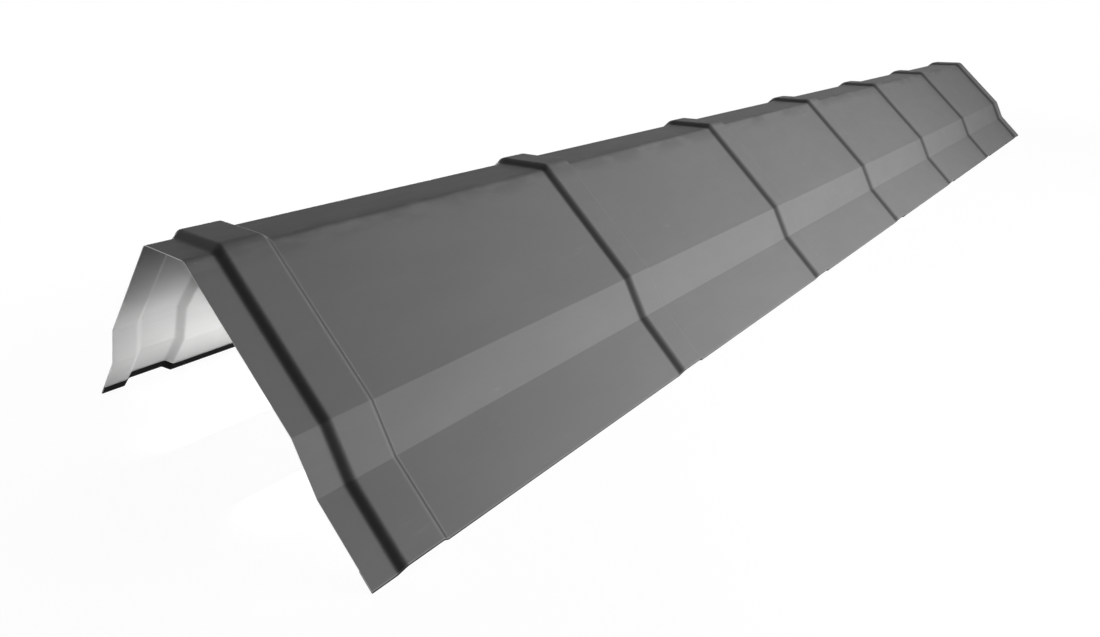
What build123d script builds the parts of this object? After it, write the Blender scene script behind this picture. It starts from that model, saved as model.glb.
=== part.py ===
from build123d import *

import math
import os

# Roof ridge cap of coated sheet metal, in millimetres.
# X runs along the ridge, Y across it and Z up. The origin is at the middle of the length,
# under the ridge line, at the level of the two hemmed edges that the cap stands on.

# Sheet
sheet = 0.5

# Section across the ridge: outer widths of its faces between the corners
top_width = 51.4
flank_width = 123.9
facet_width = 37.0
flange_width = 58.6

# Slope of each face below the horizontal, in degrees
flank_slope = 42.5
facet_slope = 61.7
flange_slope = 43.5

# Outer radius of the bends beside the flat top; the corners further down are creases
top_bend_radius = 7.5

# Hem folded back under each flange
hem_width = 13.8
hem_gap = 0.3

# Raised ribs, pressed across the whole section, with creased feet and rounded crests
rib_count = 7
rib_pitch = 310.0
rib_height = 5.0
rib_crest_width = 28.0
rib_riser_run = 5.4
rib_crest_radius = 3.2

# Sheet that each rib takes up, which draws the hemmed edges in beside it
rib_draw = 1.1

# Plain lip beyond the first and the last rib
end_lip = 17.9

rib_width = rib_crest_width + 2 * rib_riser_run
cap_length = 2 * end_lip + (rib_count - 1) * rib_pitch + rib_width
hem_depth = 2 * sheet + hem_gap


def rib_corners(base, crest, lean=0.0):
    """Corners of a line along the cap that goes from base to crest at every rib."""
    corners = [(-cap_length / 2, base)]
    for rib in range(rib_count):
        foot = -cap_length / 2 + end_lip + rib * rib_pitch
        corners.append((foot + lean, base))
        corners.append((foot + rib_riser_run + lean, crest))
        corners.append((foot + rib_width - rib_riser_run - lean, crest))
        corners.append((foot + rib_width - lean, base))
    corners.append((cap_length / 2, base))
    return corners


def ribbed_line(depth):
    """Side view of a surface at a depth under the outer face, with rounded crests."""
    lean = depth * math.tan(math.atan2(rib_height, rib_riser_run) / 2)
    corners = rib_corners(-depth, rib_height - depth, lean)
    crest_radius = rib_crest_radius - depth
    radii = [0, crest_radius, crest_radius, 0] * rib_count
    return FilletPolyline(*corners, radius=radii)


def band(one_side, other_side):
    """Face between two lines along the cap."""
    ends = [Line(one_side @ 0, other_side @ 0), Line(one_side @ 1, other_side @ 1)]
    return make_face([*one_side.edges(), *other_side.edges(), *ends])


def side_view(top, bottom):
    """Side view of ribbed sheet between two depths under the outer face."""
    return band(ribbed_line(top), ribbed_line(bottom))


class SectionWalk:
    """Goes across the section from the ridge down and leaves ribbed sheet behind it.

    The place is a plane across the walk: its origin is on the outer face of the sheet,
    its x axis is along the cap, its y axis points outward and its z axis points ahead.
    """

    def __init__(self, start):
        self.place = start
        self.pieces = []

    def ahead(self, distance):
        """Place further on in the same face."""
        origin = self.place.origin + self.place.z_dir * distance
        return Plane(origin, x_dir=self.place.x_dir, z_dir=self.place.z_dir)

    def turned(self, centre, turn):
        """Place turned about an axis along the cap, downward where the turn is positive."""
        axis = Axis(centre, self.place.x_dir)
        origin = centre + (self.place.origin - centre).rotate(axis, turn)
        return Plane(origin, x_dir=self.place.x_dir, z_dir=self.place.z_dir.rotate(axis, turn))

    def stretch(self, start, end, top, bottom):
        """Ribbed sheet of one face, between two distances ahead and two depths."""
        view = self.ahead(start) * side_view(top, bottom)
        return extrude(view, amount=end - start, dir=self.place.z_dir)

    def face(self, width, turn_before=0.0, turn_after=0.0):
        """Flat face of the section, mitred where it meets a crease."""
        spare = rib_height
        piece = self.stretch(-spare, width + spare, 0, sheet)
        start_cut = self.turned(self.place.origin, -turn_before / 2)
        self.place = self.ahead(width)
        end_cut = self.turned(self.place.origin, turn_after / 2)
        piece = split(piece, bisect_by=start_cut, keep=Keep.TOP)
        self.pieces.append(split(piece, bisect_by=end_cut, keep=Keep.BOTTOM))

    def crease(self, turn):
        """Sharp corner between two mitred faces."""
        self.place = self.turned(self.place.origin, turn)

    def bend(self, turn, radius):
        """Round corner, with the ribs carried over it."""
        centre = self.place.origin - self.place.y_dir * radius
        view = self.place * side_view(0, sheet)
        axis = Axis(centre, self.place.x_dir)
        self.pieces.append(revolve(view, axis=axis, revolution_arc=turn))
        self.place = self.turned(centre, turn)

    def hemmed_flange(self, width, turn_before):
        """Last face, down to the drawn-in edge, with the hem folded back under it."""
        spare = rib_height
        start_cut = self.turned(self.place.origin, -turn_before / 2)
        flange = split(self.stretch(-spare, width, 0, sheet), bisect_by=start_cut, keep=Keep.TOP)
        fold = self.stretch(width - hem_width - spare, width, 0, hem_depth)
        strip = self.stretch(width - hem_width - spare, width, hem_depth - sheet, hem_depth)
        self.pieces.append(flange & self.beside_edge(width, -spare - width, 0))
        self.pieces.append(fold & self.beside_edge(width, -sheet, 0))
        self.pieces.append(strip & self.beside_edge(width, -hem_width, 0))

    def beside_edge(self, width, start, end):
        """Space through the sheet that follows the edge, between two distances from it."""
        over = Plane(
            self.place.origin - self.place.y_dir * rib_height,
            x_dir=self.place.x_dir,
            z_dir=self.place.y_dir,
        )
        near, far = (
            Polyline(*rib_corners(-width - distance, rib_draw - width - distance))
            for distance in (start, end)
        )
        return extrude(over * band(near, far), amount=3 * rib_height)


def half_cap():
    """One side of the cap, from the ridge line down to its hemmed edge."""
    knee_turn = facet_slope - flank_slope
    eave_turn = flange_slope - facet_slope
    setback = top_bend_radius * math.tan(math.radians(flank_slope) / 2)

    walk = SectionWalk(Plane((0, 0, 0), x_dir=(1, 0, 0), z_dir=(0, -1, 0)))
    walk.face(top_width / 2 - setback)
    walk.bend(flank_slope, top_bend_radius)
    walk.face(flank_width - setback, turn_after=knee_turn)
    walk.crease(knee_turn)
    walk.face(facet_width, turn_before=knee_turn, turn_after=eave_turn)
    walk.crease(eave_turn)
    walk.hemmed_flange(flange_width, turn_before=eave_turn)
    return walk.pieces


pieces = half_cap()
pieces += [mirror(piece, about=Plane.XZ) for piece in pieces]
ridge_cap = Solid() + pieces
ridge_cap = Pos(0, 0, -ridge_cap.bounding_box().min.Z) * ridge_cap

os.makedirs("parts", exist_ok=True)
export_step(ridge_cap, "parts/ridge_cap.step")

box = ridge_cap.bounding_box()
print("solids", len(ridge_cap.solids()), "faces", len(ridge_cap.faces()))
print("size", box.size, "volume", ridge_cap.volume)
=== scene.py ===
import math
from collections import namedtuple

import bmesh
import bpy
from bpy.props import FloatProperty, FloatVectorProperty, IntProperty, PointerProperty
from mathutils import Matrix, Vector


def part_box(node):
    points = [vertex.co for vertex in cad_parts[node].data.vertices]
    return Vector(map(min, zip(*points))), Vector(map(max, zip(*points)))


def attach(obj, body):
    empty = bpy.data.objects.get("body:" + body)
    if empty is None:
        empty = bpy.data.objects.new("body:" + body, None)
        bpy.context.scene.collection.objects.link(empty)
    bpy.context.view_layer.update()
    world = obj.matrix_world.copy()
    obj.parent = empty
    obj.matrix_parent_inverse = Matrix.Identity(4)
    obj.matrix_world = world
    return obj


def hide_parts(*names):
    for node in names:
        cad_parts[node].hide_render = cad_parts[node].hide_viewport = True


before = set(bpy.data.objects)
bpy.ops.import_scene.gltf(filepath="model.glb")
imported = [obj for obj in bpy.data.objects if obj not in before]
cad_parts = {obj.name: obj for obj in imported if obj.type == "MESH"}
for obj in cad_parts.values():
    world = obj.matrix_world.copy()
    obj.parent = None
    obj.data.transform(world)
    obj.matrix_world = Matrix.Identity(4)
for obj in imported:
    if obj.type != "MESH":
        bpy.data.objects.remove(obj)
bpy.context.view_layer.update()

CAP_LOW, CAP_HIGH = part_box("ridge_cap")

bl_info = {
    "name": "Ridge cap former",
    "version": (1, 0, 0),
    "blender": (4, 5, 0),
    "location": "3D View > Sidebar > Ridge cap",
    "description": "Bends, hems and ribs a sheet-metal ridge cap and lights it in a studio",
    "category": "Object",
}


# Sizes, finishes and studio settings


def length(name, description, default):
    return FloatProperty(
        name=name, description=description, default=default, unit="LENGTH", precision=5
    )


def slope(name, description, degrees):
    return FloatProperty(
        name=name, description=description, default=math.radians(degrees), subtype="ANGLE"
    )


def colour(name, description, default):
    return FloatVectorProperty(
        name=name, description=description, default=default, subtype="COLOR", min=0, max=1
    )


def fraction(name, description, default):
    return FloatProperty(
        name=name, description=description, default=default, subtype="FACTOR", min=0, max=1
    )


def watts(name, description, default):
    return FloatProperty(name=name, description=description, default=default, unit="POWER")


class SheetSection(bpy.types.PropertyGroup):
    """Sizes of the bent sheet in section, measured on its outer face."""

    sheet: length("Sheet", "Thickness of the coated sheet", 0.0005)
    top_width: length("Top width", "Width of the flat top between its corners", 0.0514)
    flank_width: length("Flank width", "Width of the flank below the top", 0.1239)
    facet_width: length("Facet width", "Width of the steep facet below the flank", 0.0370)
    flange_width: length("Flange width", "Width of the splayed flange down to its fold", 0.0589)
    flank_slope: slope("Flank slope", "Fall of the flank", 42.5)
    facet_slope: slope("Facet slope", "Fall of the steep facet", 61.7)
    flange_slope: slope("Flange slope", "Fall of the flange", 43.5)
    top_bend_radius: length("Top bend radius", "Radius of the bends beside the top", 0.0075)
    crease_radius: length("Crease radius", "Radius of the two creases on each side", 0.0012)
    hem_width: length("Hem width", "Width of the strip folded back under the flange", 0.0138)
    hem_gap: length("Hem gap", "Air between the flange and the folded strip", 0.0003)


class PressedRibs(bpy.types.PropertyGroup):
    """Sizes of the ribs pressed across the sheet."""

    count: IntProperty(name="Ribs", description="Number of ribs", default=7, min=1)
    pitch: length("Pitch", "Distance from rib to rib", 0.310)
    height: length("Height", "Height of a rib above the sheet", 0.0050)
    crest_width: length("Crest width", "Width of a rib's flat crest", 0.028)
    riser_run: length("Riser run", "Length of sheet that a riser covers", 0.0054)
    foot_rounding: length("Foot rounding", "Height over which a foot is rounded", 0.0009)
    crest_rounding: length("Crest rounding", "Height over which a crest edge is rounded", 0.0013)
    edge_draw: length("Edge draw", "How far a rib draws the hemmed edge in", 0.0011)
    end_lip: length("End lip", "Plain sheet beyond the first and the last rib", 0.0179)
    waviness: length("Waviness", "Depth of the gentle waves in the sheet", 0.00012)
    wave_size: length("Wave size", "Size of the gentle waves", 0.060)
    seed: IntProperty(name="Seed", description="Pattern of the gentle waves", default=4)


class CoatFinish(bpy.types.PropertyGroup):
    """Colours of the sheet's coats and of its cut edges, and how uneven the coats are."""

    face: colour("Face coat", "Matt dark grey coat outside", (0.130, 0.130, 0.130))
    # Painted shade: the folded strip is the face coat turned under, painted near black
    hem: colour("Hem coat", "Coat on the folded strip and the fold", (0.006, 0.006, 0.006))
    back: colour("Back coat", "Light grey coat on the inside", (0.52, 0.52, 0.515))
    steel: colour("Cut steel", "Bare metal along the cut edges", (0.80, 0.80, 0.80))
    smudges: fraction("Smudges", "Tone that the smudges along the top bends take away", 0.24)
    # Painted shade: how much darker the risers' coat is made
    risers: fraction("Risers", "Tone that the stretching of the risers takes away", 0.60)
    # Painted highlight: how much lighter the line just above the fold is made
    painted_highlight: fraction("Worn line", "Tone that the wear just above the fold adds", 0.80)
    scuffs: fraction("Scuffs", "Tone that scuffs add outside", 0.12)
    back_scuffs: fraction("Back scuffs", "Tone that scuffs take away inside", 0.10)
    # Painted shade: how dark the back coat is made at the ridge
    ridge: fraction("Ridge", "Share of the back coat's tone that is left at the ridge", 0.10)


class StudioSetting(bpy.types.PropertyGroup):
    """Levels of the studio's lamps and sky, and the floor's colour."""

    front: watts("Front strip", "Power of the low strip lamp in front of the cap's middle", 26.3)
    floor: watts("Floor strip", "Power of the strip lamp that lies on the floor", 1.35)
    rear: watts("Rear strip", "Power of the low strip lamp behind the cap", 20.0)
    under: watts("Low lamps", "Power of each lamp that lies under the cap", 1.25)
    high: watts("High lamp", "Power of the wide soft lamp high beyond the far end", 120.0)
    sky: fraction("Sky", "Strength of the even light from all round", 0.055)
    sky_colour: colour("Sky colour", "Colour of the even light", (0.93, 0.96, 1.0))
    ground: colour("Ground", "Colour of the pale floor", (0.90, 0.90, 0.90))


# Help with node trees


class Nodes:
    """Adds nodes to a tree, laid out in rows, and links them."""

    PER_ROW, WIDE, HIGH = 12, 180, 220

    def __init__(self, tree):
        self.tree = tree
        self.count = 0

    def add(self, kind, inputs=None, **settings):
        node = self.tree.nodes.new(kind)
        row, column = divmod(self.count, self.PER_ROW)
        node.location = (self.WIDE * column, -self.HIGH * row)
        self.count += 1
        for name, value in settings.items():
            setattr(node, name, value)
        for key, value in (inputs or {}).items():
            self.feed(node.inputs[key], value)
        return node

    def feed(self, socket, value):
        if isinstance(value, bpy.types.NodeSocket):
            self.tree.links.new(value, socket)
        else:
            socket.default_value = value

    def maths(self, operation, *values, clamp=False):
        node = self.add("ShaderNodeMath", operation=operation, use_clamp=clamp)
        for socket, value in zip(node.inputs, values):
            self.feed(socket, value)
        return node.outputs[0]

    def scaled(self, vector, scale):
        node = self.add("ShaderNodeVectorMath", operation="SCALE")
        self.feed(node.inputs[0], vector)
        self.feed(node.inputs["Scale"], scale)
        return node.outputs[0]

    def summed(self, one, other):
        node = self.add("ShaderNodeVectorMath", operation="ADD")
        self.feed(node.inputs[0], one)
        self.feed(node.inputs[1], other)
        return node.outputs[0]

    def stretched(self, vector, scale):
        node = self.add("ShaderNodeVectorMath", operation="MULTIPLY")
        self.feed(node.inputs[0], vector)
        self.feed(node.inputs[1], scale)
        return node.outputs[0]

    def ramp(self, value, low, high, to_low=0.0, to_high=1.0):
        """Eased change from to_low to to_high while the value goes from low to high."""
        node = self.add("ShaderNodeMapRange", interpolation_type="SMOOTHSTEP")
        for socket, given in zip(node.inputs, (value, low, high, to_low, to_high)):
            self.feed(socket, given)
        return node.outputs[0]

    def noise(self, vector, scale, detail, roughness):
        sizes = {"Vector": vector, "Scale": scale, "Detail": detail, "Roughness": roughness}
        return self.add("ShaderNodeTexNoise", sizes).outputs[0]

    def centred(self, noise):
        """Noise moved so that it swings evenly about zero."""
        return self.maths("SUBTRACT", noise, 0.5)

    def mixed(self, share, one, other, blend="MIX"):
        node = self.add("ShaderNodeMix", data_type="RGBA", blend_type=blend)
        self.feed(node.inputs["Factor"], share)
        self.feed(node.inputs[6], one)
        self.feed(node.inputs[7], other)
        return node.outputs[2]


def emptied(holder):
    """Nodes of a material or a world, with its first ones taken out."""
    holder.use_nodes = True
    holder.node_tree.nodes.clear()
    return Nodes(holder.node_tree)


def add_sockets(tree, in_out, sockets):
    """Named sockets of a group: {name: (socket kind, default or None)}."""
    for name, (kind, default) in sockets.items():
        socket = tree.interface.new_socket(name, in_out=in_out, socket_type=kind)
        if default is not None:
            socket.default_value = default


def number(default):
    """A plain number as a socket of add_sockets."""
    return ("NodeSocketFloat", default)


# The bent sheet

CORNER_GAP = 0.0009  # between a corner and the rows of points that stand beside it
DARKER_BAND = 0.014  # width of the darker coat on either side of a top bend
RISER_EASING = 0.0026  # close rows of points go on so far beyond a riser
SHARP_EDGE = math.radians(35)  # edges that turn more than this are shaded sharp

# One point of the section: its place, where ribs push it outward and pull it in, and how far
# it belongs to a darker top bend, to the hem and to the painted highlight line above the hem
SectionPoint = namedtuple("SectionPoint", "across height outward pull bend hem rub")


class SectionLine:
    """Outer face of one side in section, laid from the ridge down to the folded strip."""

    def __init__(self, height):
        self.place = Vector((0.0, height))
        self.fall = 0.0
        self.points = []
        self.put()

    def ahead(self):
        return Vector((math.cos(self.fall), -math.sin(self.fall)))

    def outward(self):
        return Vector((math.sin(self.fall), math.cos(self.fall)))

    def put(self, outward=None, pull=None, bend=0.0, hem=0.0, rub=0.0):
        outward = self.outward() if outward is None else outward
        pull = Vector((0.0, 0.0)) if pull is None else pull
        point = SectionPoint(self.place.x, self.place.y, outward, pull, bend, hem, rub)
        self.points.append(point)

    def run(
        self, distance, steps, pull=(0, 0), outward=None, bend=(0, 0), hem=0.0, rub=(0, 0)
    ):
        """Straight stretch; what has two values goes evenly from the first to the second."""
        start = self.place
        # Ribs pull the sheet back up the flange, and the folded strip lies the other way round
        drawn = -self.ahead() if hem == 0.0 else self.ahead()
        for step in range(1, steps + 1):
            share = step / steps
            self.place = start + self.ahead() * distance * share
            weight = pull[0] + (pull[1] - pull[0]) * share
            mark = bend[0] + (bend[1] - bend[0]) * share
            highlight_share = rub[0] + (rub[1] - rub[0]) * share
            self.put(outward, drawn * weight, mark, hem, highlight_share)

    def turn(self, angle, radius, steps, outward=None, pull=None, bend=0.0, hem=0.0):
        """Round corner, downward where the angle is positive."""
        side = math.copysign(1.0, angle)
        centre = self.place - self.outward() * radius * side
        for step in range(1, steps + 1):
            self.fall += angle / steps
            self.place = centre + self.outward() * radius * side
            self.put(outward, pull, bend, hem)


def setback(radius, angle):
    """How far from a corner its rounding starts."""
    return radius * math.tan(abs(angle) / 2)


def one_side(section, ribs):
    """Section points from the ridge line to the end of the folded strip."""
    knee = section.facet_slope - section.flank_slope
    eave = section.flange_slope - section.facet_slope
    top_back = setback(section.top_bend_radius, section.flank_slope)
    knee_back = setback(section.crease_radius, knee)
    eave_back = setback(section.crease_radius, eave)
    fold_radius = section.sheet + section.hem_gap / 2
    near = CORNER_GAP
    band = DARKER_BAND

    line = SectionLine(CAP_HIGH.z - ribs.height)
    line.run(section.top_width / 2 - top_back - band, steps=3)
    line.run(band - near, steps=3, bend=(0.0, 1.0))
    line.run(near, steps=1, bend=(1.0, 1.0))
    line.turn(section.flank_slope, section.top_bend_radius, steps=9, bend=1.0)
    line.run(near, steps=1, bend=(1.0, 1.0))
    line.run(band, steps=3, bend=(1.0, 0.0))
    line.run(section.flank_width - top_back - knee_back - band - 2 * near, steps=9)
    line.run(near, steps=1)
    crease(line, knee, section.crease_radius)
    line.run(near, steps=1)
    line.run(section.facet_width - knee_back - eave_back - 2 * near, steps=5)
    line.run(near, steps=1)
    crease(line, eave, section.crease_radius)
    line.run(near, steps=1)

    # Ribs pull the flange in more and more towards its edge; the painted highlight is its last
    # stretch
    flat = section.flange_width - eave_back - fold_radius - 3 * near
    pulled = flat / (flat + 2 * near)
    line.run(flat, steps=7, pull=(0.0, pulled))
    line.run(2 * near, steps=2, pull=(pulled, 1.0), rub=(0.0, 1.0))
    fold_hem(line, section, fold_radius)
    return line.points


def crease(line, angle, radius):
    """Crease whose points all rise along its mitre, so a rib crosses it unchanged."""
    middle = line.fall + angle / 2
    mitre = Vector((math.sin(middle), math.cos(middle))) / math.cos(angle / 2)
    first = line.points.pop()
    line.points.append(first._replace(outward=mitre))
    line.turn(angle, radius, steps=3, outward=mitre)


def fold_hem(line, section, fold_radius):
    """Fold and strip, which rise and are pulled in with the flange's edge."""
    outward = line.outward()
    pull = -line.ahead()
    strip = section.hem_width - fold_radius
    line.turn(math.pi, fold_radius, steps=9, outward=outward, pull=pull, hem=1.0)
    line.run(strip, steps=3, pull=(1.0, 1.0), outward=outward, hem=1.0)


def spread(start, end, steps):
    """Even places from just after the start up to the end."""
    return [start + (end - start) * step / steps for step in range(1, steps + 1)]


def stations(ribs):
    """Places along the cap where the sheet gets a row of points, close together at risers."""
    lip_steps, bay_steps, riser_steps, crest_steps = 3, 13, 13, 3
    riser = ribs.riser_run + 2 * RISER_EASING
    width = ribs.crest_width + 2 * ribs.riser_run
    places = [CAP_LOW.x]
    for rib in range(ribs.count):
        foot = CAP_LOW.x + ribs.end_lip + rib * ribs.pitch - RISER_EASING
        places += spread(places[-1], foot, bay_steps if rib else lip_steps)
        places += spread(foot, foot + riser, riser_steps)
        far_riser = foot + width - ribs.riser_run
        places += spread(foot + riser, far_riser, crest_steps)
        places += spread(far_riser, far_riser + riser, riser_steps)
    return places + spread(places[-1], CAP_HIGH.x, lip_steps)


def bent_sheet(section, ribs):
    """Bent sheet without ribs, with what the ribs and the coats need to know at each point."""
    right = one_side(section, ribs)
    left = list(reversed(right))[:-1]
    line = [(1.0, point) for point in left] + [(-1.0, point) for point in right]
    places = stations(ribs)

    sheet = bmesh.new()
    rows = [
        [sheet.verts.new((x, side * point.across, point.height)) for side, point in line]
        for x in places
    ]
    for one, other in zip(rows, rows[1:]):
        for a, b, c, d in zip(one, one[1:], other[1:], other):
            sheet.faces.new((a, b, c, d))
    mesh = bpy.data.meshes.new("bent_sheet")
    sheet.to_mesh(mesh)
    sheet.free()

    many = len(places)
    outward = [(0.0, side * p.outward.x, p.outward.y) for side, p in line] * many
    pull = [(0.0, side * p.pull.x, p.pull.y) for side, p in line] * many
    store(mesh, "outward", "FLOAT_VECTOR", "vector", outward)
    store(mesh, "pull", "FLOAT_VECTOR", "vector", pull)
    store(mesh, "top_bend", "FLOAT", "value", [(p.bend,) for _, p in line] * many)
    store(mesh, "hem", "FLOAT", "value", [(p.hem,) for _, p in line] * many)
    store(mesh, "edge_highlight", "FLOAT", "value", [(p.rub,) for _, p in line] * many)
    return mesh


def store(mesh, name, kind, field, values):
    """Writes one value for each point of the mesh into a new attribute."""
    attribute = mesh.attributes.new(name, kind, "POINT")
    attribute.data.foreach_set(field, [part for value in values for part in value])


def rib_sizes(ribs):
    """What the ribs' node tree takes, by the names of its inputs."""
    half_rib = ribs.crest_width / 2 + ribs.riser_run
    return {
        "Pitch": ribs.pitch,
        "First rib": CAP_LOW.x + ribs.end_lip + half_rib,
        "Crest width": ribs.crest_width,
        "Riser run": ribs.riser_run,
        "Height": ribs.height,
        "Foot rounding": ribs.foot_rounding,
        "Crest rounding": ribs.crest_rounding,
        "Edge draw": ribs.edge_draw,
        "Waviness": ribs.waviness,
        "Wave size": ribs.wave_size,
        "Seed": float(ribs.seed),
    }


def press_ribs_tree(sizes, coats):
    """Geometry nodes that press evenly spaced ribs across a bent sheet and coat its outside."""
    tree = bpy.data.node_groups.new("press_ribs", "GeometryNodeTree")
    add_sockets(tree, "INPUT", {"Sheet": ("NodeSocketGeometry", None)})
    add_sockets(tree, "INPUT", {name: number(size) for name, size in sizes.items()})
    add_sockets(tree, "OUTPUT", {"Ribbed sheet": ("NodeSocketGeometry", None)})
    nodes = Nodes(tree)
    given = nodes.add("NodeGroupInput").outputs
    place = nodes.add("GeometryNodeInputPosition").outputs[0]

    # Height of the side view: straight risers between rounded feet and crests
    along = nodes.add("ShaderNodeSeparateXYZ", {0: place}).outputs[0]
    from_rib = nodes.maths("SUBTRACT", along, given["First rib"])
    half_pitch = nodes.maths("MULTIPLY", given["Pitch"], 0.5)
    below = nodes.maths("MULTIPLY", half_pitch, -1.0)
    off_centre = nodes.maths("ABSOLUTE", nodes.maths("WRAP", from_rib, half_pitch, below))
    half_crest = nodes.maths("MULTIPLY", given["Crest width"], 0.5)
    half_width = nodes.maths("ADD", half_crest, given["Riser run"])
    steepness = nodes.maths("DIVIDE", given["Height"], given["Riser run"])
    inside = nodes.maths("SUBTRACT", half_width, off_centre)
    tent = nodes.maths("MULTIPLY", inside, steepness)
    crest = nodes.maths("SMOOTH_MIN", tent, given["Height"], given["Crest rounding"])
    rise = nodes.maths("SMOOTH_MAX", crest, 0.0, given["Foot rounding"])
    share = nodes.maths("DIVIDE", rise, given["Height"])

    # Gentle waves go inward only, so that the sheet keeps its outer sizes
    longer_along = (0.6, 1.0, 1.0)
    waves = nodes.add("ShaderNodeTexNoise", noise_dimensions="4D")
    nodes.feed(waves.inputs["Vector"], nodes.stretched(place, longer_along))
    nodes.feed(waves.inputs["W"], given["Seed"])
    nodes.feed(waves.inputs["Scale"], nodes.maths("DIVIDE", 1.0, given["Wave size"]))
    nodes.feed(waves.inputs["Detail"], 1.0)
    sink = nodes.maths("MULTIPLY", waves.outputs[0], given["Waviness"])
    lift = nodes.maths("SUBTRACT", rise, sink)

    outward = named(nodes, "outward", "FLOAT_VECTOR")
    pull = named(nodes, "pull", "FLOAT_VECTOR")
    drawn = nodes.maths("MULTIPLY", share, given["Edge draw"])
    offset = nodes.summed(nodes.scaled(outward, lift), nodes.scaled(pull, drawn))
    pressed = nodes.add("GeometryNodeSetPosition", {"Geometry": given["Sheet"], "Offset": offset})

    # Where the risers get painted shade: 1 on the lower part of a riser, fading towards its crest
    reach = nodes.maths("DIVIDE", tent, given["Height"])
    up = nodes.ramp(reach, low=0.0, high=0.3)
    over = nodes.ramp(reach, low=0.5, high=0.95)
    stretch = nodes.maths("SUBTRACT", up, over, clamp=True)
    marked = nodes.add(
        "GeometryNodeStoreNamedAttribute",
        {"Geometry": pressed.outputs[0], "Name": "stretch", "Value": stretch},
        data_type="FLOAT",
        domain="POINT",
    )
    geometry = marked.outputs[0]
    for name in ("outward", "pull"):
        removal = {"Geometry": geometry, "Name": name}
        geometry = nodes.add("GeometryNodeRemoveAttribute", removal).outputs[0]
    geometry = nodes.add("GeometryNodeRealizeInstances", {0: geometry}).outputs[0]
    # The folded strip and the fold get the near-black painted-shade coat, the rest the face coat
    all_black = nodes.add("GeometryNodeSetMaterial", {0: geometry, "Material": coats["hem"]})
    is_face = nodes.maths("LESS_THAN", named(nodes, "hem", "FLOAT"), 0.5)
    coated = nodes.add(
        "GeometryNodeSetMaterial",
        {0: all_black.outputs[0], "Selection": is_face, "Material": coats["face"]},
    )
    nodes.add("NodeGroupOutput", {0: coated.outputs[0]})
    return tree


def named(nodes, name, kind):
    """An attribute of the sheet, read in the ribs' tree."""
    node = nodes.add("GeometryNodeInputNamedAttribute", {"Name": name}, data_type=kind)
    return node.outputs["Attribute"]


def made_plain(cap):
    """Turns what the cap's modifiers give into its own mesh and takes them off."""
    graph = bpy.context.evaluated_depsgraph_get()
    mesh = bpy.data.meshes.new_from_object(
        cap.evaluated_get(graph), preserve_all_data_layers=True, depsgraph=graph
    )
    cap.modifiers.clear()
    cap.data = mesh
    mesh.name = cap.name


def pressed_cap(section, ribs, coats):
    """The whole cap: bent sheet, then pressed ribs, then the sheet's thickness."""
    cap = bpy.data.objects.new("ridge_cap_sheet", bent_sheet(section, ribs))
    bpy.context.scene.collection.objects.link(cap)
    sizes = rib_sizes(ribs)
    tree = press_ribs_tree(sizes, coats)
    press = cap.modifiers.new("press_ribs", "NODES")
    press.node_group = tree
    for item in tree.interface.items_tree:
        if item.name in sizes:
            press[item.identifier] = sizes[item.name]
    made_plain(cap)

    # Inner wall and cut edges take the slots after the face coat
    cap.data.materials.append(coats["back"])
    cap.data.materials.append(coats["steel"])
    wall = cap.modifiers.new("sheet", "SOLIDIFY")
    wall.thickness = section.sheet
    wall.offset = -1.0
    wall.use_even_offset = True
    wall.use_quality_normals = True
    wall.material_offset = 1
    wall.material_offset_rim = 2
    made_plain(cap)
    cap.data.shade_smooth()
    cap.data.set_sharp_from_angle(angle=SHARP_EDGE)
    return cap


# The coats


def paint_film_group():
    """Film of roller-laid paint: cloudy tone, fine grain and slightly uneven roughness."""
    tree = bpy.data.node_groups.new("paint_film", "ShaderNodeTree")
    add_sockets(
        tree,
        "INPUT",
        {
            "Place": ("NodeSocketVector", None),
            "Cloud size": number(0.03),
            "Cloud depth": number(0.1),
            "Grain size": number(0.0006),
            "Base roughness": number(0.5),
            "Roughness change": number(0.06),
        },
    )
    add_sockets(tree, "OUTPUT", {"Tone": number(1), "Roughness": number(0.5), "Grain": number(0)})
    nodes = Nodes(tree)
    given = nodes.add("NodeGroupInput").outputs
    longer_along = (0.45, 1.0, 1.0)
    patches_per_cloud = 2.3
    place = nodes.stretched(given["Place"], longer_along)
    cloud_scale = nodes.maths("DIVIDE", 1.0, given["Cloud size"])
    clouds = nodes.noise(place, cloud_scale, detail=4.0, roughness=0.6)
    tone = nodes.maths("MULTIPLY_ADD", nodes.centred(clouds), given["Cloud depth"], 1.0)
    grain_scale = nodes.maths("DIVIDE", 1.0, given["Grain size"])
    grain = nodes.noise(given["Place"], grain_scale, detail=2.0, roughness=0.55)
    patch_scale = nodes.maths("MULTIPLY", cloud_scale, patches_per_cloud)
    change = nodes.centred(nodes.noise(place, patch_scale, detail=3.0, roughness=0.55))
    rough = nodes.maths(
        "MULTIPLY_ADD", change, given["Roughness change"], given["Base roughness"]
    )
    nodes.add("NodeGroupOutput", {"Tone": tone, "Roughness": rough, "Grain": grain})
    return tree


def rolling_lines_group():
    """Faint straight lines that the rolling mill left along the strip."""
    tree = bpy.data.node_groups.new("rolling_lines", "ShaderNodeTree")
    add_sockets(
        tree,
        "INPUT",
        {
            "Place": ("NodeSocketVector", None),
            "Line spacing": number(0.0012),
            "Strength": number(0.1),
        },
    )
    add_sockets(tree, "OUTPUT", {"Tone": number(1), "Height": number(0)})
    nodes = Nodes(tree)
    given = nodes.add("NodeGroupInput").outputs
    long_lines = (0.012, 1.0, 1.0)
    drawn_out = nodes.stretched(given["Place"], long_lines)
    scale = nodes.maths("DIVIDE", 1.0, given["Line spacing"])
    lines = nodes.noise(drawn_out, scale, detail=3.0, roughness=0.6)
    tone = nodes.maths("MULTIPLY_ADD", nodes.centred(lines), given["Strength"], 1.0)
    nodes.add("NodeGroupOutput", {"Tone": tone, "Height": lines})
    return tree


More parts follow.
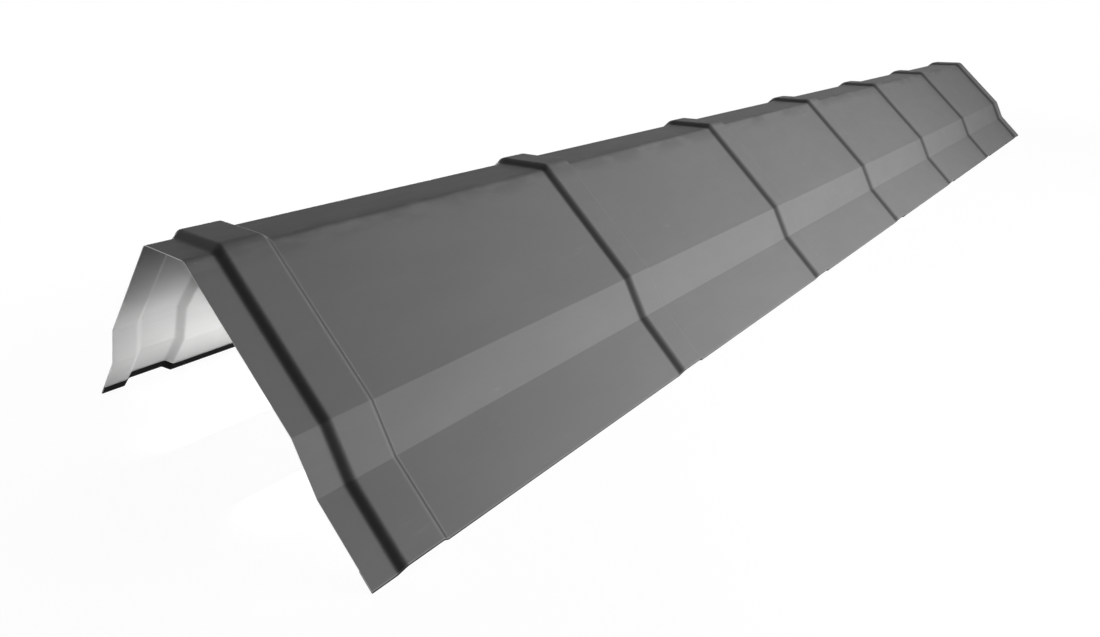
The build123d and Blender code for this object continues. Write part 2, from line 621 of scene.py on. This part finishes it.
def scuffs_group():
    """Sparse short rubs from handling and stacking."""
    tree = bpy.data.node_groups.new("scuffs", "ShaderNodeTree")
    add_sockets(
        tree,
        "INPUT",
        {
            "Place": ("NodeSocketVector", None),
            "Scuff size": number(0.02),
            "Cover": number(0.1),
        },
    )
    add_sockets(tree, "OUTPUT", {"Mask": number(0)})
    nodes = Nodes(tree)
    given = nodes.add("NodeGroupInput").outputs
    highest, soft_edge, strokes_per_scuff = 0.72, 0.1, 22.0
    strokes_along = (0.08, 1.0, 0.6)
    scale = nodes.maths("DIVIDE", 1.0, given["Scuff size"])
    where = nodes.noise(given["Place"], scale, detail=2.0, roughness=0.5)
    from_level = nodes.maths("SUBTRACT", highest, given["Cover"])
    to_level = nodes.maths("ADD", from_level, soft_edge)
    spots = nodes.ramp(where, from_level, to_level)
    drawn_out = nodes.stretched(given["Place"], strokes_along)
    stroke_scale = nodes.maths("MULTIPLY", scale, strokes_per_scuff)
    strokes = nodes.noise(drawn_out, stroke_scale, detail=3.0, roughness=0.7)
    thin = nodes.ramp(strokes, low=0.55, high=0.7)
    nodes.add("NodeGroupOutput", {"Mask": nodes.maths("MULTIPLY", spots, thin)})
    return tree


def new_material(name):
    """New material; gives it, its nodes and its Principled shader."""
    material = bpy.data.materials.new(name)
    nodes = emptied(material)
    shader = nodes.add("ShaderNodeBsdfPrincipled")
    nodes.add("ShaderNodeOutputMaterial", {"Surface": shader.outputs[0]})
    return material, nodes, shader


def placed(nodes, group, **sizes):
    """A shared group with its own values, reading the object's own coordinates."""
    node = nodes.add("ShaderNodeGroup", node_tree=group)
    for name, value in sizes.items():
        nodes.feed(node.inputs[name.replace("_", " ").capitalize()], value)
    return node.outputs


def grey(value):
    """Colour without a hue, from black at 0 to white at 1."""
    return (value, value, value, 1.0)


def toned(nodes, base, tone):
    """Base colour made lighter or darker by a tone around 1."""
    three = nodes.add("ShaderNodeCombineColor", {0: tone, 1: tone, 2: tone}).outputs[0]
    return nodes.mixed(1.0, (*base, 1.0), three, blend="MULTIPLY")


def bumped(nodes, height, depth, under=None):
    """Normal with a relief of the given depth in metres, over another relief if there is one."""
    node = nodes.add("ShaderNodeBump", {"Height": height, "Distance": depth, "Strength": 1.0})
    if under is not None:
        nodes.feed(node.inputs["Normal"], under)
    return node.outputs[0]


def attribute(nodes, name):
    """An attribute of the sheet, read in a material."""
    node = nodes.add("ShaderNodeAttribute", attribute_name=name, attribute_type="GEOMETRY")
    return node.outputs["Fac"]


def face_coat(finish, groups):
    """Matt dark grey coat outside."""
    material, nodes, shader = new_material("face_coat")
    place = nodes.add("ShaderNodeTexCoord").outputs["Object"]
    film = placed(
        nodes, groups["film"], place=place, cloud_size=0.035, cloud_depth=0.16,
        grain_size=0.0007, base_roughness=0.60, roughness_change=0.10,
    )
    lines = placed(nodes, groups["lines"], place=place, line_spacing=0.002, strength=0.05)
    rubs = placed(nodes, groups["scuffs"], place=place, scuff_size=0.04, cover=0.10)

    # Uneven darker band along the two top bends
    smudges_per_metre = 55.0
    longer_along = nodes.stretched(place, (0.35, 1.0, 1.0))
    wavy = nodes.noise(longer_along, smudges_per_metre, detail=3.0, roughness=0.55)
    patchy = nodes.ramp(wavy, low=0.40, high=0.60)
    bend_darkening = nodes.maths("MULTIPLY", attribute(nodes, "top_bend"), patchy)
    bend_tone = nodes.maths("MULTIPLY_ADD", bend_darkening, -finish.smudges, 1.0)

    # Painted shade: the coat is much darker on the lower part of each riser
    stretch = attribute(nodes, "stretch")
    painted_riser_shade = nodes.maths("MULTIPLY_ADD", stretch, -finish.risers, 1.0)
    tone = nodes.maths("MULTIPLY", film["Tone"], lines["Tone"])
    tone = nodes.maths("MULTIPLY", tone, nodes.maths("MULTIPLY", bend_tone, painted_riser_shade))
    tone = nodes.maths("MULTIPLY_ADD", rubs["Mask"], finish.scuffs, tone)

    # Painted highlight: a lighter line just above the fold
    painted_highlight = nodes.ramp(attribute(nodes, "edge_highlight"), low=0.45, high=0.95)
    tone = nodes.maths("MULTIPLY_ADD", painted_highlight, finish.painted_highlight, tone)
    nodes.feed(shader.inputs["Base Color"], toned(nodes, finish.face, tone))

    # Scuffs polish the coat, and so does stretching, a little
    polished, stretched_smooth = -0.10, -0.04
    rough = nodes.maths("MULTIPLY_ADD", rubs["Mask"], polished, film["Roughness"])
    rough = nodes.maths("MULTIPLY_ADD", stretch, stretched_smooth, rough)
    nodes.feed(shader.inputs["Roughness"], rough)
    waves = bumped(nodes, wavy, depth=0.00030)
    relief = bumped(nodes, film["Grain"], depth=0.00003, under=waves)
    nodes.feed(shader.inputs["Normal"], relief)
    shader.inputs["Specular IOR Level"].default_value = 0.12
    return material


def shaded_hem_coat(finish, groups):
    """Coat on the folded strip and round the fold, painted near black as shade."""
    material, nodes, shader = new_material("shaded_hem_coat")
    place = nodes.add("ShaderNodeTexCoord").outputs["Object"]
    film = placed(
        nodes, groups["film"], place=place, cloud_size=0.02, cloud_depth=0.3,
        grain_size=0.0007, base_roughness=0.75, roughness_change=0.10,
    )
    lines = placed(nodes, groups["lines"], place=place, line_spacing=0.0015, strength=0.2)
    tone = nodes.maths("MULTIPLY", film["Tone"], lines["Tone"])
    nodes.feed(shader.inputs["Base Color"], toned(nodes, finish.hem, tone))
    nodes.feed(shader.inputs["Roughness"], film["Roughness"])
    nodes.feed(shader.inputs["Normal"], bumped(nodes, film["Grain"], depth=0.00003))
    shader.inputs["Specular IOR Level"].default_value = 0.02
    return material


def back_coat(finish, groups):
    """Thin light grey back coat, with the roller's faint lines, and painted shade that darkens it
    towards the ridge.
    """
    material, nodes, shader = new_material("back_coat")
    place = nodes.add("ShaderNodeTexCoord").outputs["Object"]
    film = placed(
        nodes, groups["film"], place=place, cloud_size=0.05, cloud_depth=0.12,
        grain_size=0.0009, base_roughness=0.55, roughness_change=0.12,
    )
    lines = placed(nodes, groups["lines"], place=place, line_spacing=0.0018, strength=0.06)
    rubs = placed(nodes, groups["scuffs"], place=place, scuff_size=0.03, cover=0.12)
    tone = nodes.maths("MULTIPLY", film["Tone"], lines["Tone"])
    tone = nodes.maths("MULTIPLY_ADD", rubs["Mask"], -finish.back_scuffs, tone)

    # Painted shade: its tone falls from low on the flank up to the ridge
    low_on_flank, ridge_height = 0.070, 0.165
    height = nodes.add("ShaderNodeSeparateXYZ", {0: place}).outputs["Z"]
    fall = nodes.ramp(height, low_on_flank, ridge_height, 1.0, finish.ridge)
    tone = nodes.maths("MULTIPLY", tone, fall)
    nodes.feed(shader.inputs["Base Color"], toned(nodes, finish.back, tone))
    nodes.feed(shader.inputs["Roughness"], film["Roughness"])
    grooves = bumped(nodes, lines["Height"], depth=0.00002)
    relief = bumped(nodes, film["Grain"], depth=0.00002, under=grooves)
    nodes.feed(shader.inputs["Normal"], relief)
    shader.inputs["Specular IOR Level"].default_value = 0.15
    return material


def cut_steel(finish, groups):
    """Bare sheared metal along the cut edges."""
    material, nodes, shader = new_material("cut_steel")
    place = nodes.add("ShaderNodeTexCoord").outputs["Object"]
    film = placed(
        nodes, groups["film"], place=place, cloud_size=0.004, cloud_depth=0.35,
        grain_size=0.0002, base_roughness=0.42, roughness_change=0.2,
    )
    nodes.feed(shader.inputs["Base Color"], toned(nodes, finish.steel, film["Tone"]))
    nodes.feed(shader.inputs["Roughness"], film["Roughness"])
    nodes.feed(shader.inputs["Normal"], bumped(nodes, film["Grain"], depth=0.00002))
    shader.inputs["Metallic"].default_value = 0.3
    return material


# The studio

GROUND_RADIUS = 40.0


def seen_directly(nodes):
    """1 for the rays that show the background: camera, glossy and transmission rays."""
    path = nodes.add("ShaderNodeLightPath").outputs
    either = nodes.maths("MAXIMUM", path["Is Camera Ray"], path["Is Glossy Ray"])
    return nodes.maths("MAXIMUM", either, path["Is Transmission Ray"])


def ground_material(base):
    """Pale floor that looks white and keeps a light shadow, which fades out in an oval."""
    fade_from, fade_to = 0.35, 0.95  # metres across the cap; over twice as far along it
    oval_shape = (0.45, 1.0, 1.0)
    shadow_depth = 0.10
    glow_beside_cap = 0.955
    material = bpy.data.materials.new("studio_ground")
    nodes = emptied(material)
    place = nodes.add("ShaderNodeTexCoord").outputs["Object"]
    oval = nodes.stretched(place, oval_shape)
    distance = nodes.add("ShaderNodeVectorMath", {0: oval}, operation="LENGTH").outputs["Value"]
    far_off = nodes.ramp(distance, fade_from, fade_to)
    lit = nodes.add("ShaderNodeBsdfDiffuse", {"Color": (*base, 1.0)})
    shade_colour = nodes.mixed(far_off, grey(shadow_depth), grey(0.0))
    shade = nodes.add("ShaderNodeBsdfDiffuse", {"Color": shade_colour})
    glow = nodes.ramp(far_off, 0.0, 1.0, glow_beside_cap, 1.0)
    white = nodes.add("ShaderNodeEmission", {"Strength": glow})
    shown = nodes.add("ShaderNodeAddShader", {0: shade.outputs[0], 1: white.outputs[0]})
    ground = nodes.add(
        "ShaderNodeMixShader", {0: seen_directly(nodes), 1: lit.outputs[0], 2: shown.outputs[0]}
    )
    nodes.add("ShaderNodeOutputMaterial", {"Surface": ground.outputs[0]})
    return material


def studio_floor(base):
    """Round floor under the cap, far wider than any view shows."""
    mesh = bpy.data.meshes.new("studio_floor")
    ground = bmesh.new()
    bmesh.ops.create_circle(ground, cap_ends=True, segments=96, radius=GROUND_RADIUS)
    ground.to_mesh(mesh)
    ground.free()
    mesh.materials.append(ground_material(base))
    floor = bpy.data.objects.new("studio_floor", mesh)
    bpy.context.scene.collection.objects.link(floor)


def studio_world(setting):
    """Even light from all round, behind a background that looks white."""
    world = bpy.data.worlds.new("studio_world")
    nodes = emptied(world)
    sky = nodes.add(
        "ShaderNodeBackground", {0: (*setting.sky_colour, 1.0), "Strength": setting.sky}
    )
    white = nodes.add("ShaderNodeBackground", {0: grey(1.0), "Strength": 1.0})
    shown = nodes.add(
        "ShaderNodeMixShader", {0: seen_directly(nodes), 1: sky.outputs[0], 2: white.outputs[0]}
    )
    nodes.add("ShaderNodeOutputWorld", {"Surface": shown.outputs[0]})
    bpy.context.scene.world = world


def soft_lamp(name, place, aim, size, power):
    """Rectangular lamp that shines from a place towards an aim and isn't seen itself."""
    lamp = bpy.data.lights.new(name, "AREA")
    lamp.shape = "RECTANGLE"
    lamp.size, lamp.size_y = size
    lamp.energy = power
    holder = bpy.data.objects.new(name, lamp)
    bpy.context.scene.collection.objects.link(holder)
    towards = Vector(aim) - Vector(place)
    turn = towards.to_track_quat("-Z", "Y").to_matrix().to_4x4()
    holder.matrix_world = Matrix.Translation(place) @ turn
    holder.visible_camera = False


def studio_lamps(setting):
    """Low strips before and behind the cap, one wide high lamp, one low lamp under each side."""
    strip_height = 0.12
    side_across, side_height = 0.12, 0.06  # where on the cap's sides the strips aim
    for name, x, y, z, strip_length, power in (
        ("front_strip", -0.06, -1.32, 0.08, 0.45, setting.front),
        ("floor_strip", -0.58, -0.5, 0.02, 0.5, setting.floor),
        ("rear_strip", 0.0, 1.1, 0.08, 1.8, setting.rear),
    ):
        aim = (x, math.copysign(side_across, y), side_height)
        soft_lamp(name, (x, y, z), aim, (strip_length, strip_height), power)

    soft_lamp(
        "high_lamp", place=(3.75, 0.0, 7.1), aim=(0.0, 0.0, 0.1), size=(2.0, 4.8),
        power=setting.high,
    )
    for name, side in (("low_lamp_left", 1), ("low_lamp_right", -1)):
        soft_lamp(
            name, place=(0.0, 0.05 * side, 0.012), aim=(0.0, 0.15 * side, -0.02),
            size=(1.93, 0.02), power=setting.under,
        )


def studio_camera():
    """Camera at the photograph's viewing angle."""
    place = (-1.14602, -0.44355, 0.29048)
    right = Vector((0.64680, -0.76259, -0.01041))
    up = Vector((0.29485, 0.23745, 0.92557))
    camera = bpy.data.cameras.new("studio_camera")
    camera.sensor_fit = "HORIZONTAL"
    camera.sensor_width = 36.0
    camera.lens = 24.062
    camera.shift_x = 0.0182
    camera.shift_y = -0.0073
    camera.clip_start = 0.01
    camera.clip_end = 200.0
    holder = bpy.data.objects.new("studio_camera", camera)
    bpy.context.scene.collection.objects.link(holder)
    turn = Matrix((right, up, right.cross(up))).transposed().to_4x4()
    holder.matrix_world = Matrix.Translation(place) @ turn
    bpy.context.scene.camera = holder


# Operators and panel


class FormRidgeCap(bpy.types.Operator):
    """Bend, hem and rib the sheet and give it its coats"""

    bl_idname = "ridge_cap.form"
    bl_label = "Form the ridge cap"

    def execute(self, context):
        scene = context.scene
        finish = scene.ridge_cap_finish
        groups = {
            "film": paint_film_group(),
            "lines": rolling_lines_group(),
            "scuffs": scuffs_group(),
        }
        coats = {
            "face": face_coat(finish, groups),
            "hem": shaded_hem_coat(finish, groups),
            "back": back_coat(finish, groups),
            "steel": cut_steel(finish, groups),
        }
        cap = pressed_cap(scene.ridge_cap_section, scene.ridge_cap_ribs, coats)
        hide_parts("ridge_cap")
        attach(cap, "root")
        return {"FINISHED"}


class SetUpStudio(bpy.types.Operator):
    """Lay the floor, hang the lamps and set up the camera"""

    bl_idname = "ridge_cap.studio"
    bl_label = "Set up the studio"

    def execute(self, context):
        setting = context.scene.ridge_cap_studio
        studio_floor(setting.ground)
        studio_world(setting)
        studio_lamps(setting)
        studio_camera()
        context.scene.view_settings.view_transform = "Standard"
        return {"FINISHED"}


class RidgeCapPanel(bpy.types.Panel):
    """Sizes, finishes and steps of the ridge cap"""

    bl_idname = "VIEW3D_PT_ridge_cap"
    bl_label = "Ridge cap"
    bl_space_type = "VIEW_3D"
    bl_region_type = "UI"
    bl_category = "Ridge cap"

    def draw(self, context):
        scene = context.scene
        for operator in (FormRidgeCap, SetUpStudio):
            self.layout.operator(operator.bl_idname)
        for label, group in (
            ("Sheet", scene.ridge_cap_section),
            ("Ribs", scene.ridge_cap_ribs),
            ("Coats", scene.ridge_cap_finish),
            ("Studio", scene.ridge_cap_studio),
        ):
            box = self.layout.box()
            box.label(text=label)
            for name in group.__annotations__:
                box.prop(group, name)


CLASSES = (
    SheetSection,
    PressedRibs,
    CoatFinish,
    StudioSetting,
    FormRidgeCap,
    SetUpStudio,
    RidgeCapPanel,
)

GROUPS = {
    "ridge_cap_section": SheetSection,
    "ridge_cap_ribs": PressedRibs,
    "ridge_cap_finish": CoatFinish,
    "ridge_cap_studio": StudioSetting,
}


def register():
    for cls in CLASSES:
        bpy.utils.register_class(cls)
    for name, group in GROUPS.items():
        setattr(bpy.types.Scene, name, PointerProperty(type=group))


def unregister():
    for name in GROUPS:
        delattr(bpy.types.Scene, name)
    for cls in reversed(CLASSES):
        bpy.utils.unregister_class(cls)


def main():
    """Makes the cap and its studio."""
    register()
    bpy.ops.ridge_cap.form()
    bpy.ops.ridge_cap.studio()


if __name__ == "__main__":
    main()
